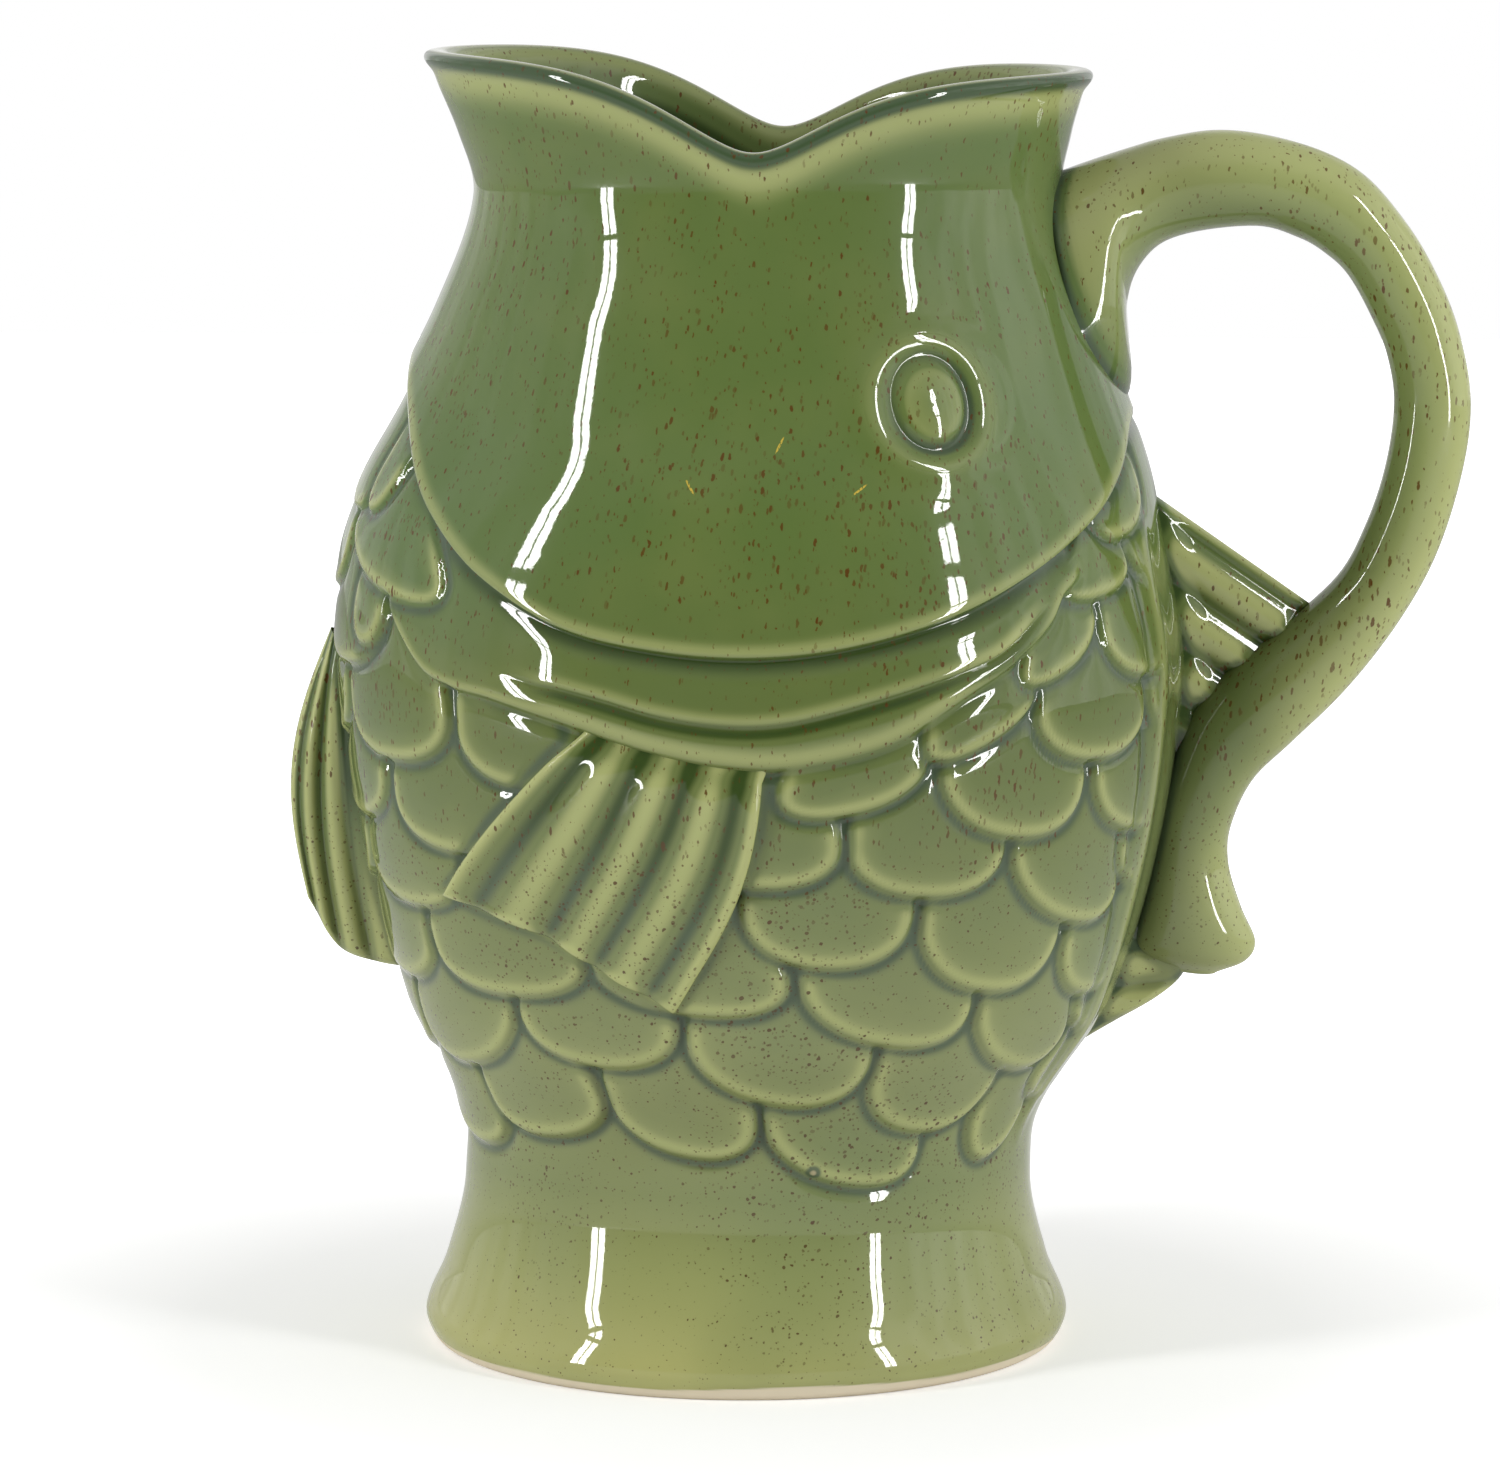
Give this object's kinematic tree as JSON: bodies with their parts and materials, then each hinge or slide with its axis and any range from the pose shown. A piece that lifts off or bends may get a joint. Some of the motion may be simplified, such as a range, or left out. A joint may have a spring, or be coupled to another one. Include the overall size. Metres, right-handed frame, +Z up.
{
  "type": "gurgle jug",
  "caption": "Glazed ceramic gurgle jug shaped like a fish standing on its tail, its open mouth the pouring lip, with a looped hollow handle at its back.",
  "frame": {"origin": "centre of the round foot, on the surface that the jug stands on", "axes": "+X towards the handle at the back, -X towards the belly, +Y towards the far flank, +Z up to the mouth"},
  "size_m": [0.2081, 0.1448, 0.2283],
  "materials": {
    "glaze": "glossy"
  },
  "bodies": {
    "root": {"jug_body": "glaze", "handle": "glaze", "dorsal_fin_upper": "glaze", "dorsal_fin_lower": "glaze", "belly_fin": "glaze", "pectoral_fin_left": "glaze", "pectoral_fin_right": "glaze", "eye_left": "glaze", "eye_right": "glaze"}
  },
  "joints": []
}
